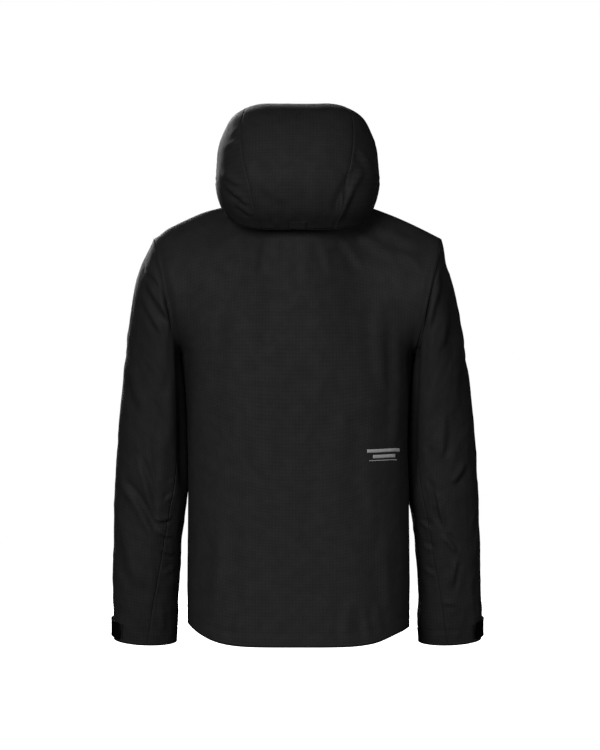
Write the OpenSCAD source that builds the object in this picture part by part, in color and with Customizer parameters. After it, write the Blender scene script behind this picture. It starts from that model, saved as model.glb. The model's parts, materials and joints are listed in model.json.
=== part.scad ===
// Hardshell jacket: a waterproof three-layer shell with a fitted hood, two-piece sleeves,
// a full front zip, zipped hand pockets, cuff tabs and a drawcord hem.
// Millimetres. +Z is up, the back of the jacket faces +Y and the wearer's left is +X.
// The origin is at the hanger loop, inside the back of the neck.

/* [Fabric] */
// Thickness of the shell fabric with its lining and seam allowance
shell_t = 1.2; // [0.9:0.1:1.4]
// Gap left between two panels at a seam
seam_gap = 1.0; // [0.8:0.1:1.4]

/* [Body] */
// Half the width of the body at the waist
waist_half = 189; // [184:1:189]
// Height of the drop-tail hem below the back of the neck
tail_drop = 730; // [715:1:740]
// Height of the front hem below the back of the neck
front_drop = 692; // [680:1:700]
// Front edge of the hem, measured forwards of the back of the neck
hem_front = 236; // [230:1:242]
// Forward lean of the front zip, from the collar down to the hem, in degrees
zip_lean = 4.1; // [3.6:0.1:4.4]

/* [Shoulders] */
// Radius of the armhole seam
armhole_r = 102; // [99:1:103]
// Lean of the armhole from the vertical, in degrees
armhole_lean = 12.6; // [12:0.1:13.2]
// Distance from the middle of the jacket to the middle of the armhole
armhole_x = 225; // [223:1:228]

/* [Sleeves] */
// Half the depth of the sleeve at the cuff
cuff_half_depth = 40; // [36:1:46]
// Height of the cuff tab
tab_h = 30; // [26:1:34]

/* [Hood] */
// Largest half width of the hood
hood_half = 138; // [132:1:142]
// Forward reach of the stiffened peak
peak_reach = 30; // [22:1:36]

/* [Closures] */
// Length of the slider body of the front zip
slider_len = 11; // [10:0.5:13]
// Length of a zip puller
puller_len = 34; // [28:1:40]

/* [Hidden] */

black = [0.05, 0.05, 0.055];
dark = [0.09, 0.09, 0.1];
trim = [0.02, 0.02, 0.022];
silver = [0.7, 0.7, 0.72];
round_fn = 32;

// Points of the body
arm_centre = [armhole_x, -88, -127];
arm_up = [sin(armhole_lean), 0, cos(armhole_lean)];
arm_out = [cos(armhole_lean), 0, -sin(armhole_lean)];
shoulder = arm_centre + armhole_r * arm_up;
underarm = arm_centre - armhole_r * arm_up;
side_seam = [
    [waist_half + 1, -80, -689], [waist_half + 1, -78, -600], [waist_half, -76, -500],
    [waist_half, -76, -400], [waist_half + 1.5, -79, -320], [waist_half + 6, -84, -268], underarm
];
centre_back = [
    [40, -tail_drop], [37, -625], [36, -520], [38, -415], [43, -310],
    [46, -215], [43, -130], [31, -60], [5, 14]
];
underarm_v = 0.62;
front_edge = 9;
neck_half = 90;
neck_back = [5, 14];
neck_side = [-88, 38];
neck_front_z = -45;
chin_z = 48;

// Sleeve: outer line and inner line in the XZ plane, then half depth, forward place and tilt
sleeve_start = 1.0;
sleeve_outer = [
    [shoulder.x + sleeve_start * arm_out.x, shoulder.z + sleeve_start * arm_out.z],
    [277, -105], [292, -200], [302, -290], [309, -380], [314, -465], [317, -550], [319, -636], [319, -720]
];
sleeve_inner = [
    [underarm.x + sleeve_start * arm_out.x, underarm.z + sleeve_start * arm_out.z],
    [197, -262], [192, -315], [190, -372], [190.5, -430], [194, -497], [201, -570], [206, -650], [209, -724]
];
sleeve_depth = [armhole_r, 95, 86, 77, 69, 62, 55, 47, cuff_half_depth];
sleeve_y = [arm_centre.y, -93, -103, -113, -120, -126, -134, -146, -161];
sleeve_tilt = [0, 0, 2, 4, 6, 9, 12, 14, 14];
back_seam_angle = [-62, -60, -57, -53, -43, -34, -26, -14, -4];
front_seam_angle = [-118, -118, -120, -122, -124, -128, -134, -140, -146];

// Hood: centre line from the front edge over the head to the fold above the back of the neck
hood_centre = [
    [-166, 184], [-108, 200], [-45, 204], [14, 192], [58, 158], [82, 108], [86, 62], [72, 18], [42, -14]
];
hood_width = [96, 120, 134, hood_half, hood_half, hood_half, hood_half, hood_half - 3, hood_half - 9];
hood_seam_x = [66, 76, 84, 92, 97, 92, 82, 73, 62];
hood_base_low = [56, -172, 42];
hood_base_high = [45, -179, 56];
hood_roundness = 3;
hood_base_angle = -50;

// Zip
zip_bottom = -front_drop + 8;
zip_top = 40;
coil_r = 1.2;
coil_x = 1.9;
tape_w = 8;
pocket_low = [0.60, 0.30];
pocket_high = [0.53, 0.545];
lock_place = [150, -152, -684];
lock_r = 6.5;
lock_h = 15;
button_travel = 3.5;

// Curves and surfaces

function lerp(a, b, t) = a + (b - a) * t;
function smooth(t) = let (c = min(1, max(0, t))) c * c * (3 - 2 * c);
function unit(v) = v / norm(v);

// Smooth curve through evenly spaced knots, t from 0 to 1
function curve(knots, t) =
    let (
        last = len(knots) - 1,
        s = min(max(t, 0), 1) * last,
        i = min(floor(s), last - 1),
        f = s - i,
        b = knots[i],
        c = knots[i + 1],
        a = i > 0 ? knots[i - 1] : 2 * b - c,
        d = i + 2 <= last ? knots[i + 2] : 2 * c - b
    )
    0.5 * (2 * b + (c - a) * f + (2 * a - 5 * b + 4 * c - d) * f * f + (3 * b - a - 3 * c + d) * f * f * f);

function zip_y(z) = -hem_front + (z + front_drop) * tan(zip_lean);

// Neckline: 0 at the centre back, 90 at the side, 180 at the centre front
function neckline(a) =
    let (front_y = zip_y(neck_front_z), mid_y = (neck_back[0] + front_y) / 2)
    [
        neck_half * sin(a),
        mid_y + (neck_back[0] - mid_y) * cos(a),
        a <= 90 ? lerp(neck_back[1], neck_side[1], pow(sin(a), 2)) : lerp(neck_side[1], neck_front_z, smooth((a - 90) / 90))
    ];

// Side seam up to the underarm, then the half of the armhole on the back (1) or the front (-1)
function edge_point(v, face) =
    v <= underarm_v
        ? curve(side_seam, v / underarm_v)
        : let (a = -90 + 180 * (v - underarm_v) / (1 - underarm_v))
          arm_centre + armhole_r * (sin(a) * arm_up + [0, face * cos(a), 0]);

function centre_point(v, face) =
    face > 0
        ? let (p = curve(centre_back, v)) [0, p[0], p[1]]
        : let (z = lerp(-front_drop, neck_front_z, v)) [front_edge, zip_y(z), z];

// Cross-section of the body at height v, before its top edge is set; u is 0 at the centre, 1 at the side
function section_point(u, v, face) =
    let (
        c = centre_point(v, face),
        e = edge_point(v, face),
        s = sin(90 * u),
        up = smooth((v - underarm_v) / 0.2),
        n = lerp(2.6, 2, up),
        m = lerp(1 / 2.6, 1, up)
    )
    [lerp(c.x, e.x, s), e.y + (c.y - e.y) * pow(1 - pow(s, n), m), lerp(c.z, e.z, pow(s, lerp(5, 2.5, smooth(v / 0.3))))];

neck_share = 0.42;
// Top edge of a body panel: the neckline, then the shoulder seam
function top_point(u, face) =
    u <= neck_share
        ? let (f = u / neck_share, start = face > 0 ? 0 : 180 - asin(front_edge / neck_half))
          neckline(lerp(start, 90, f))
        : let (f = (u - neck_share) / (1 - neck_share), n = neckline(90))
          lerp(n, shoulder, f) + [0, 0, 5 * sin(180 * f)];

function body_point(u, v, face) =
    let (w = smooth((v - 0.5) / 0.5))
    section_point(u, v, face) + w * (top_point(u, face) - section_point(u, 1, face));

// Whole back: u from -1 on the wearer's right to 1 on the wearer's left
function back_point(u, v) =
    let (p = body_point(abs(u), v, 1)) [u < 0 ? -p.x : p.x, p.y, p.z];

function sleeve_point(a, v) =
    let (
        o = curve(sleeve_outer, v),
        i = curve(sleeve_inner, v),
        m = (o + i) / 2,
        h = (o - i) / 2,
        r = curve(sleeve_depth, v),
        t = curve(sleeve_tilt, v)
    )
    [
        m[0] + h[0] * sin(a),
        curve(sleeve_y, v) + r * cos(a) * cos(t),
        m[1] + h[1] * sin(a) - r * cos(a) * sin(t)
    ];

// Hood arc t runs from one side of the chin over the head to the other; a is 90 at its top
function hood_point(a, t) =
    let (
        c = curve(hood_centre, t),
        base = lerp(hood_base_high, hood_base_low, t),
        w = curve(hood_width, t),
        reach = sin(-hood_base_angle),
        side = abs(cos(a)),
        below = max(0, -sin(a) / reach),
        rise = sin(a) >= 0 ? pow(sin(a), 2 / hood_roundness) : sin(a),
        q = (rise + reach) / (1 + reach),
        x = below > 0 ? lerp(base.x, w, pow(max(0, 1 - below * below), 0.6)) : w * pow(side, 2 / hood_roundness),
        lift = 14 * smooth((t - 0.5) / 0.5) * pow(side, 4) * (1 - smooth(below))
    )
    [
        (a > 90 ? -1 : 1) * x,
        lerp(base.y, c[0], q),
        lerp(base.z, c[1], q) + lift
    ];

function hood_seam_angle(t) =
    acos(pow(curve(hood_seam_x, t) / curve(hood_width, t), hood_roundness / 2));

// Grids of points over a surface

function steps(from, to, n) = [for (i = [0 : n]) lerp(from, to, i / n)];
function mirrored(grid) = [for (row = grid) [for (i = [len(row) - 1 : -1 : 0]) [-row[i].x, row[i].y, row[i].z]]];

function grid_normal(g, i, j) =
    let (
        a = g[min(i + 1, len(g) - 1)][j] - g[max(i - 1, 0)][j],
        b = g[i][min(j + 1, len(g[0]) - 1)] - g[i][max(j - 1, 0)]
    )
    unit(cross(a, b));

function moved(g, d) =
    [for (i = [0 : len(g) - 1]) [for (j = [0 : len(g[0]) - 1]) g[i][j] + d * grid_normal(g, i, j)]];

function flat_list(g) = [for (row = g) for (p = row) p];

// A closed thin solid with the points as one face: thickness goes against the normals, or along them where negative
module sheet(points, thickness) {
    grid = thickness > 0 ? points : [for (i = [len(points) - 1 : -1 : 0]) points[i]];
    rows = len(grid);
    cols = len(grid[0]);
    under = moved(grid, -abs(thickness));
    n = rows * cols;
    faces = concat(
        [for (i = [0 : rows - 2]) for (j = [0 : cols - 2])
            for (f = [[i * cols + j, i * cols + j + 1, (i + 1) * cols + j + 1],
                      [i * cols + j, (i + 1) * cols + j + 1, (i + 1) * cols + j]]) f],
        [for (i = [0 : rows - 2]) for (j = [0 : cols - 2])
            for (f = [[i * cols + j, (i + 1) * cols + j + 1, i * cols + j + 1],
                      [i * cols + j, (i + 1) * cols + j, (i + 1) * cols + j + 1]]) [f[0] + n, f[1] + n, f[2] + n]],
        [for (i = [0 : rows - 2]) for (f = rim_faces(i * cols, (i + 1) * cols, n)) f],
        [for (i = [0 : rows - 2]) for (f = rim_faces((i + 2) * cols - 1, (i + 1) * cols - 1, n)) f],
        [for (j = [0 : cols - 2]) for (f = rim_faces(j + 1, j, n)) f],
        [for (j = [0 : cols - 2]) for (f = rim_faces((rows - 1) * cols + j, (rows - 1) * cols + j + 1, n)) f]
    );
    polyhedron(points = concat(flat_list(grid), flat_list(under)), faces = faces, convexity = 10);
}

function rim_faces(a, b, n) = [[a, b, b + n], [a, b + n, a + n]];

// A tube along a path of points
module tube(path, r, sides) {
    last = len(path) - 1;
    rings = [for (i = [0 : last])
        let (
            d = unit(path[min(i + 1, last)] - path[max(i - 1, 0)]),
            side = unit(cross(d, abs(d.z) > 0.9 ? [1, 0, 0] : [0, 0, 1])),
            up = cross(side, d)
        )
        [for (k = [0 : sides - 1]) path[i] + r * (cos(360 * k / sides) * side + sin(360 * k / sides) * up)]];
    faces = concat(
        [for (i = [0 : last - 1]) for (k = [0 : sides - 1])
            let (k2 = (k + 1) % sides)
            [i * sides + k, i * sides + k2, (i + 1) * sides + k2, (i + 1) * sides + k]],
        [[for (k = [sides - 1 : -1 : 0]) k]],
        [[for (k = [0 : sides - 1]) last * sides + k]]
    );
    polyhedron(points = flat_list(rings), faces = faces, convexity = 10);
}

module right_of() { mirror([1, 0, 0]) children(); }

// Body panels

v_gap = seam_gap * 1.1 / 700;

function back_grid(u0, u1, v0, v1, nu, nv) =
    [for (v = steps(v0, v1, nv)) [for (u = steps(u0, u1, nu)) back_point(u, v)]];
function front_grid(u0, u1, v0, v1, nu, nv) =
    [for (v = steps(v0, v1, nv)) [for (u = steps(u0, u1, nu)) body_point(u, v, -1)]];

side_u = 1 - 0.0006;

module back_panel() {
    color(black) sheet(back_grid(-side_u, side_u, 0, 1 - v_gap, 22, 22), shell_t);
}

module front_panel() {
    color(black) sheet(front_grid(0, side_u, 0, 1 - v_gap, 12, 22), -shell_t);
}

// Collar: the narrow front piece beside the zip, then the piece round to the back of the neck
module collar_front() {
    low_angle = 180 - asin(front_edge / neck_half);
    grid = [for (t = steps(0.02, 1, 5)) [for (s = steps(0, 1, 4))
        let (
            low = neckline(lerp(low_angle, neck_start_angle + 1.2, s)) + [0, 0, 2],
            high = [lerp(front_edge, hood_base_low.x - 3, s), lerp(zip_y(chin_z), hood_base_low.y, s), chin_z - 5 * s]
        )
        lerp(low, high, t)]];
    color(black) sheet(grid, -shell_t);
}

neck_start_angle = 145;
function neck_panel_row(t) =
    let (n = 28)
    [for (i = [0 : n])
        let (
            f = i / n,
            a = lerp(hood_base_angle, 180 - hood_base_angle, f),
            arc = hood_point(a, 1) - [0, 0, 2.6],
            na = lerp(neck_start_angle, -neck_start_angle, f),
            p = neckline(abs(na)),
            low = [na < 0 ? -p.x : p.x, p.y, p.z] + [0, 0, 2]
        )
        lerp(low, arc, t)];

module collar_neck_panel() {
    color(black) sheet([for (t = steps(0, 0.97, 3)) neck_panel_row(t)], -shell_t);
}

// Inner collar with the soft chin guard, standing inside the hood and leaning with the zip in front
collar_inset = 5;
function inner_collar_point(a, t) =
    let (
        p = neckline(abs(a)),
        s = (neck_half - collar_inset) / neck_half,
        top = lerp(66, 34, smooth(abs(a) / 180)),
        z = lerp(p.z + 3, top, t),
        lean = (z - p.z) * tan(zip_lean) * smooth((abs(a) - 90) / 60)
    )
    [(a < 0 ? -1 : 1) * p.x * s, lerp(-92, p.y, s) + lean, z];

module inner_collar() {
    color(dark) sheet([for (t = steps(0, 1, 3)) [for (a = steps(163, -163, 28)) inner_collar_point(a, t)]], -shell_t);
}

facing_depth = 5;
hem_low_v = 0.002;
hem_v = 0.05;
module hem_facing() {
    color(dark) {
        sheet(moved(back_grid(-0.96, 0.96, hem_low_v, hem_v, 18, 1), -facing_depth), shell_t);
        hem_front_facing();
        right_of() hem_front_facing();
    }
}
module hem_front_facing() {
    sheet(moved(front_grid(0.09, 0.96, hem_low_v, hem_v, 9, 1), facing_depth), -shell_t);
}

// The drawcord lies in the hem tunnel, between the shell and the facing
module hem_drawcord() {
    depth = 3.1;
    front = moved(front_grid(0.10, 0.93, 0.006, 0.026, 8, 2), depth)[1];
    rear = moved(back_grid(0.93, 0, 0.006, 0.026, 9, 2), depth)[1];
    left = concat(front, rear);
    right = [for (i = [len(left) - 2 : -1 : 0]) [-left[i].x, left[i].y, left[i].z]];
    color(trim) tube(concat(left, right), 1.2, 8);
}
// Front zip: places along its line, with -Y pointing out of the jacket
module on_zip(z) { translate([0, zip_y(z), z]) rotate([-zip_lean, 0, 0]) children(); }
zip_len = (zip_top - zip_bottom) / cos(zip_lean);

module zip_tape() { color(trim) on_zip(zip_bottom) translate([3.2, 2.25, 0]) cube([tape_w, 0.5, zip_len]); }
module zip_coil() { color(trim) on_zip(zip_bottom) translate([coil_x, 0.9, 0]) cylinder(r = coil_r, h = zip_len, $fn = round_fn); }

module storm_flap() {
    color(dark) on_zip(zip_bottom) translate([-14, 5.2, 0]) cube([40, 1.0, zip_len - 96]);
}

module zip_retainer_box() {
    color(trim) on_zip(zip_bottom) translate([-4, -0.9, -7]) cube([8, 3.6, 6.5]);
}

module zip_top_stops() {
    color(silver) on_zip(zip_top) for (s = [-1, 1]) translate([s * coil_x - 1.1, 0, 0.6]) cube([2.2, 2.2, 2.4]);
}

// Fold of soft fabric that the slider parks under, at the top of the zip
module zip_garage() {
    color(dark) on_zip(zip_top) difference() {
        translate([-8, -4.6, 3.6]) cube([16, 8, 7]);
        translate([-6.4, -3.4, 2]) cube([12.8, 5.6, 6.8]);
    }
}

pin_r = 0.8;
pin_out = -5.2;
module slider_body(len) {
    translate([-4.4, -3.1, -len / 2]) cube([8.8, 2.2, len]);
    translate([-4.4, 2.8, -len / 2]) cube([8.8, 1.0, len]);
    translate([-0.4, -1.2, len / 2 - 3]) cube([0.8, 4.4, 2.5]);
    for (s = [-1, 1]) translate([s * 2.9 - 0.5, pin_out - 1.2, -1.6]) cube([1, 3.3, 3.2]);
    translate([-2.9, pin_out, 0]) rotate([0, 90, 0]) cylinder(r = pin_r, h = 5.8, $fn = round_fn);
}

module puller_body(len) {
    difference() {
        union() {
            translate([-2.1, pin_out, 0]) rotate([0, 90, 0]) cylinder(r = 1.7, h = 4.2, $fn = round_fn);
            translate([-2.1, pin_out - 0.8, -len + 2]) cube([4.2, 1.6, len - 2]);
        }
        translate([-3, pin_out, 0]) rotate([0, 90, 0]) cylinder(r = pin_r + 0.06, h = 6, $fn = round_fn);
    }
}

slider_z = zip_top - slider_len / 2 - 2;
module zip_slider() { color(trim) on_zip(slider_z) slider_body(slider_len); }
module zip_puller() { color(dark) on_zip(slider_z) puller_body(puller_len); }

// Hand pockets: a straight zip laid over the front panel
pocket_a = body_point(pocket_low[0], pocket_low[1], -1);
pocket_b = body_point(pocket_high[0], pocket_high[1], -1);
pocket_up = unit(pocket_b - pocket_a);
pocket_mid_u = (pocket_low[0] + pocket_high[0]) / 2;
pocket_mid_v = (pocket_low[1] + pocket_high[1]) / 2;
pocket_side = unit(body_point(pocket_mid_u + 0.05, pocket_mid_v, -1) - body_point(pocket_mid_u - 0.05, pocket_mid_v, -1));
pocket_in = unit(cross(pocket_up, pocket_side));
pocket_across = cross(pocket_in, pocket_up);
pocket_len = norm(pocket_b - pocket_a);
pocket_proud = 5.0;
pocket_origin = pocket_a - pocket_proud * pocket_in;

module on_pocket(along) {
    o = pocket_origin + along * pocket_up;
    multmatrix([
        [pocket_across.x, pocket_in.x, pocket_up.x, o.x],
        [pocket_across.y, pocket_in.y, pocket_up.y, o.y],
        [pocket_across.z, pocket_in.z, pocket_up.z, o.z],
        [0, 0, 0, 1]
    ]) children();
}

module pocket_zip_tape() {
    color(trim) on_pocket(0) for (s = [-1, 1]) translate([s * 8.2 - 5, 1.7, 0]) cube([10, 0.6, pocket_len]);
}
module pocket_zip_coil() {
    color(trim) on_pocket(0) for (s = [-1, 1])
        translate([s * coil_x, 0.9, 0]) cylinder(r = coil_r, h = pocket_len, $fn = round_fn);
}
pocket_slider_at = pocket_len - 7;
module pocket_slider() { color(trim) on_pocket(pocket_slider_at) slider_body(9); }
module pocket_puller() { color(dark) on_pocket(pocket_slider_at) puller_body(puller_len - 8); }
module pocket_bag() {
    grid = moved([for (v = steps(0.24, 0.56, 5)) [for (u = steps(0.16, 0.72, 6)) body_point(u, v, -1)]], 4.5);
    color(dark) sheet(grid, -2.2);
}

// Small pieces
module hanger_loop() {
    reach = 10;
    span = 30;
    r = (span * span + reach * reach) / 2 / reach;
    half = asin(span / r);
    color(trim) translate([0, r - reach - 0.6, -4]) rotate([0, 0, 270 - half])
        rotate_extrude(angle = 2 * half, $fn = 120) translate([r - 0.5, 0]) square([1, 8]);
}

module neck_label() {
    grid = [for (t = [0.12, 0.62]) [for (a = steps(13, -13, 6)) inner_collar_point(a, t)]];
    color(dark) sheet(moved(grid, shell_t + 0.7), -0.5);
}

// Level strip on the lower back, towards the wearer's right
function mark_v(u) = lerp(0.321, 0.367, (u + 0.78) / 0.35);
module reflective_mark() {
    grid = [for (d = [-0.0165, 0, 0.0165]) [for (u = steps(-0.78, -0.43, 5)) back_point(u, mark_v(u) + d)]];
    color(silver) sheet(moved(grid, 0.7), 0.4);
}

module at_lock() { translate(lock_place) children(); }
module cord_lock() {
    color(trim) at_lock() difference() {
        cylinder(r = lock_r, h = lock_h, $fn = round_fn);
        translate([0, 0, 3]) cylinder(r = lock_r - 2, h = lock_h, $fn = round_fn);
    }
}
module cord_lock_spring() {
    turns = 3;
    coil_h = 6.2;
    spring_r = 3;
    points_a_turn = 9;
    color(silver) at_lock() tube(
        [for (k = [0 : turns * points_a_turn])
            let (a = 360 * k / points_a_turn)
            [spring_r * cos(a), spring_r * sin(a), 3.6 + coil_h * a / 360 / turns]], 0.35, 6);
}
module cord_lock_button() {
    color(dark) at_lock() {
        translate([0, 0, 10.4]) cylinder(r = lock_r - 2.1, h = 10, $fn = round_fn);
        translate([0, 0, 19]) cylinder(r = lock_r - 1, h = 2.4, $fn = round_fn);
    }
}

// Hood
hood_rows = 18;
hood_seam_half = 0.35;
module hood_side() {
    color(black) sheet(
        [for (t = steps(0, 1, hood_rows)) [for (a = steps(hood_base_angle, hood_seam_angle(t) - hood_seam_half, 10))
            hood_point(a, t)]], shell_t);
}
module hood_centre_panel() {
    color(black) sheet(
        [for (t = steps(0, 1, hood_rows))
            let (a = hood_seam_angle(t) + hood_seam_half)
            [for (a = steps(a, 180 - a, 10)) hood_point(a, t)]], shell_t);
}

module hood_peak() {
    grid = [for (t = steps(0.02, 1, 3)) [for (a = steps(52, 128, 14))
        let (w = pow(sin((a - 52) / 76 * 180), 0.6))
        hood_point(a, 0) + t * (2 + (peak_reach - 2) * w) * [0, -0.985, -0.17]]];
    color(black) sheet(grid, -shell_t);
}

module hood_edge_binding() {
    grid = [for (t = steps(0.004, 0.06, 2)) [for (a = steps(hood_base_angle + 2, 178 - hood_base_angle, 26)) hood_point(a, t)]];
    color(dark) sheet(moved(grid, -3.1), shell_t);
}

module hood_back_tab() {
    grid = [for (t = steps(0.945, 0.99, 2)) [for (a = steps(88, 92, 2)) hood_point(a, t)]];
    color(dark) sheet(moved(grid, 2.0), shell_t);
}

// Sleeves
function sleeve_grid(low, high, v0, v1, na, nv) =
    [for (v = steps(v0, v1, nv)) [for (f = steps(0, 1, na)) sleeve_point(lerp(curve(low, v), curve(high, v), f), v)]];
function shifted(list, d) = [for (x = list) x + d];
seam_angle = 0.5;

module sleeve_upper() {
    color(black) sheet(
        sleeve_grid(shifted(back_seam_angle, seam_angle), shifted(front_seam_angle, 360 - seam_angle), 0, 1, 16, 20), -shell_t);
}
module sleeve_under() {
    color(black) sheet(
        sleeve_grid(shifted(front_seam_angle, seam_angle), shifted(back_seam_angle, -seam_angle), 0, 1, 5, 20), -shell_t);
}
module cuff_facing() {
    grid = [for (v = steps(0.935, 0.995, 1)) [for (a = steps(-116, 236, 22)) sleeve_point(a, v)]];
    color(dark) sheet(moved(grid, 3.2), -shell_t);
}

tab_v = [1 - 0.010 - tab_h / 690, 1 - 0.010];
tab_back_angle = 48;
tab_sewn_angle = 152;
function cuff_grid(a0, a1, v0, v1, na) =
    [for (v = steps(v0, v1, 2)) [for (a = steps(a0, a1, na)) sleeve_point(a, v)]];
module cuff_loop_patch() {
    color(trim) sheet(moved(cuff_grid(44, 120, tab_v[0] + 0.003, tab_v[1] - 0.003, 10), -1.4), -0.8);
}
module cuff_hook_patch() {
    color(trim) sheet(moved(cuff_grid(tab_back_angle + 2, 100, tab_v[0] + 0.005, tab_v[1] - 0.005, 8), -2.5), -0.7);
}
module cuff_tab() {
    color(dark) sheet(moved(cuff_grid(tab_back_angle, tab_sewn_angle, tab_v[0], tab_v[1], 14), -4.2), -1.3);
}

back_panel();
front_panel();  // front_panel_left
right_of() front_panel();  // front_panel_right
collar_front();  // collar_front_left
right_of() collar_front();  // collar_front_right
collar_neck_panel();
inner_collar();
hem_facing();
hem_drawcord();
storm_flap();
zip_tape();  // zip_tape_left
right_of() zip_tape();  // zip_tape_right
zip_coil();  // zip_coil_left
right_of() zip_coil();  // zip_coil_right
zip_retainer_box();
zip_top_stops();
zip_garage();
zip_slider();
zip_puller();
pocket_zip_tape();  // pocket_zip_tape_left
right_of() pocket_zip_tape();  // pocket_zip_tape_right
pocket_zip_coil();  // pocket_zip_coil_left
right_of() pocket_zip_coil();  // pocket_zip_coil_right
pocket_slider();  // pocket_slider_left
right_of() pocket_slider();  // pocket_slider_right
pocket_puller();  // pocket_puller_left
right_of() pocket_puller();  // pocket_puller_right
pocket_bag();  // pocket_bag_left
right_of() pocket_bag();  // pocket_bag_right
hanger_loop();
neck_label();
reflective_mark();
cord_lock();  // cord_lock_left
right_of() cord_lock();  // cord_lock_right
cord_lock_spring();  // cord_lock_spring_left
right_of() cord_lock_spring();  // cord_lock_spring_right
cord_lock_button();  // cord_lock_button_left
right_of() cord_lock_button();  // cord_lock_button_right
hood_centre_panel();
hood_side();  // hood_side_left
right_of() hood_side();  // hood_side_right
hood_peak();
hood_edge_binding();
hood_back_tab();
sleeve_upper();  // sleeve_upper_left
right_of() sleeve_upper();  // sleeve_upper_right
sleeve_under();  // sleeve_under_left
right_of() sleeve_under();  // sleeve_under_right
cuff_facing();  // cuff_facing_left
right_of() cuff_facing();  // cuff_facing_right
cuff_loop_patch();  // cuff_loop_patch_left
right_of() cuff_loop_patch();  // cuff_loop_patch_right
cuff_tab();  // cuff_tab_left
right_of() cuff_tab();  // cuff_tab_right
cuff_hook_patch();  // cuff_hook_patch_left
right_of() cuff_hook_patch();  // cuff_hook_patch_right
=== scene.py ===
"""Looks of the hardshell jacket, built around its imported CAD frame.

The fabric panels are fine meshes of the same surfaces as the CAD panels. Surfaces are worked out in
millimetres, in the row frame (+Z up, back of the jacket towards +Y, wearer's left towards +X),
and turned into metres when a mesh is made.
"""

import json
import math

import bpy
import numpy as np
from mathutils import Matrix, Vector


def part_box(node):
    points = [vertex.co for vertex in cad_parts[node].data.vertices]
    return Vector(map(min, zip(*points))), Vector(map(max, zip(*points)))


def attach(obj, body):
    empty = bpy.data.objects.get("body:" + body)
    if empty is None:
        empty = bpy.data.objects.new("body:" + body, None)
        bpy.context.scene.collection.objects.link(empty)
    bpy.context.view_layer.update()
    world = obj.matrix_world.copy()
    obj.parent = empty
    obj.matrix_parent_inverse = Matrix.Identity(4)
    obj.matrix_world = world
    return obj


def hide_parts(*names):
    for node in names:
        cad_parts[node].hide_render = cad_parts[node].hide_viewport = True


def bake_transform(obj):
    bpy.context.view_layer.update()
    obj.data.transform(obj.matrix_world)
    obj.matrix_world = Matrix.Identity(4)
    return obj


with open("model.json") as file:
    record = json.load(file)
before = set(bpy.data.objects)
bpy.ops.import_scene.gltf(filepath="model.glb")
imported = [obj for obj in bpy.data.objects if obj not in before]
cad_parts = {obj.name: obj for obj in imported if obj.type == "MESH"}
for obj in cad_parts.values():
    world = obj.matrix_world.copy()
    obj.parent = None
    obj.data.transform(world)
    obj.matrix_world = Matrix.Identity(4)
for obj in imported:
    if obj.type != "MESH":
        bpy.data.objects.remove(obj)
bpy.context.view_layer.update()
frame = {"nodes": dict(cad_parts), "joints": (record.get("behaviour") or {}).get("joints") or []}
nodes = frame["nodes"]
MM = 0.001
SIDES = (("left", 1.0), ("right", -1.0))


# ---- driving sizes, from the frame

def node_box(name):
    """Lowest and highest corner of a CAD node, in millimetres."""
    low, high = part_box(name)
    return np.array(low) / MM, np.array(high) / MM


joints = {j["name"]: j for j in frame["joints"]}

TAIL_DROP = -node_box("back_panel")[0][2]
HOOD_HALF = node_box("hood_side_left")[1][0]
ARM_CENTRE = np.array(joints["sleeve_swing_left"]["pos_m"]) / MM
ARM_OUT = -np.array(joints["sleeve_swing_left"]["axis"])
ARM_UP = np.array([-ARM_OUT[2], 0.0, ARM_OUT[0]])
ZIP_UP = np.array(joints["zip_slide"]["axis"])
ZIP_LEAN = math.atan2(ZIP_UP[1], ZIP_UP[2])
WAIST_HALF = 189.0
FRONT_DROP = 692.0
HEM_FRONT = 236.0
ARMHOLE_R = 102.0
CUFF_HALF_DEPTH = 40.0
UNDERARM_V = 0.62
FRONT_EDGE = 9.0
NECK_HALF = 90.0
NECK_BACK = (5.0, 14.0)
NECK_SIDE_Z = 38.0
NECK_FRONT_Z = -45.0
NECK_SHARE = 0.42
NECK_START = 145.0
CHIN_Z = 48.0
SHOULDER = ARM_CENTRE + ARMHOLE_R * ARM_UP
UNDERARM = ARM_CENTRE - ARMHOLE_R * ARM_UP

SIDE_SEAM = np.array([
    (WAIST_HALF + 1, -80, -689), (WAIST_HALF + 1, -78, -600), (WAIST_HALF, -76, -500),
    (WAIST_HALF, -76, -400), (WAIST_HALF + 1.5, -79, -320), (WAIST_HALF + 6, -84, -268), tuple(UNDERARM),
])
CENTRE_BACK = np.array([
    (40, -TAIL_DROP), (37, -625), (36, -520), (38, -415), (43, -310), (46, -215), (43, -130),
    (31, -60), NECK_BACK,
])

SLEEVE_START = 1.0
SLEEVE_LENGTH = 620.0
SLEEVE_OUTER = np.array([
    (SHOULDER + SLEEVE_START * ARM_OUT)[[0, 2]], (277, -105), (292, -200), (302, -290), (309, -380),
    (314, -465), (317, -550), (319, -636), (319, -720),
])
SLEEVE_INNER = np.array([
    (UNDERARM + SLEEVE_START * ARM_OUT)[[0, 2]], (197, -262), (192, -315), (190, -372), (190.5, -430),
    (194, -497), (201, -570), (206, -650), (209, -724),
])
SLEEVE_DEPTH = np.array([ARMHOLE_R, 95, 86, 77, 69, 62, 55, 47, CUFF_HALF_DEPTH])
SLEEVE_Y = np.array([ARM_CENTRE[1], -93, -103, -113, -120, -126, -134, -146, -161])
SLEEVE_TILT = np.array([0, 0, 2, 4, 6, 9, 12, 14, 14.0])
BACK_SEAM = np.array([-62, -60, -57, -53, -43, -34, -26, -14, -4.0])
FRONT_SEAM = np.array([-118, -118, -120, -122, -124, -128, -134, -140, -146.0])

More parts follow.
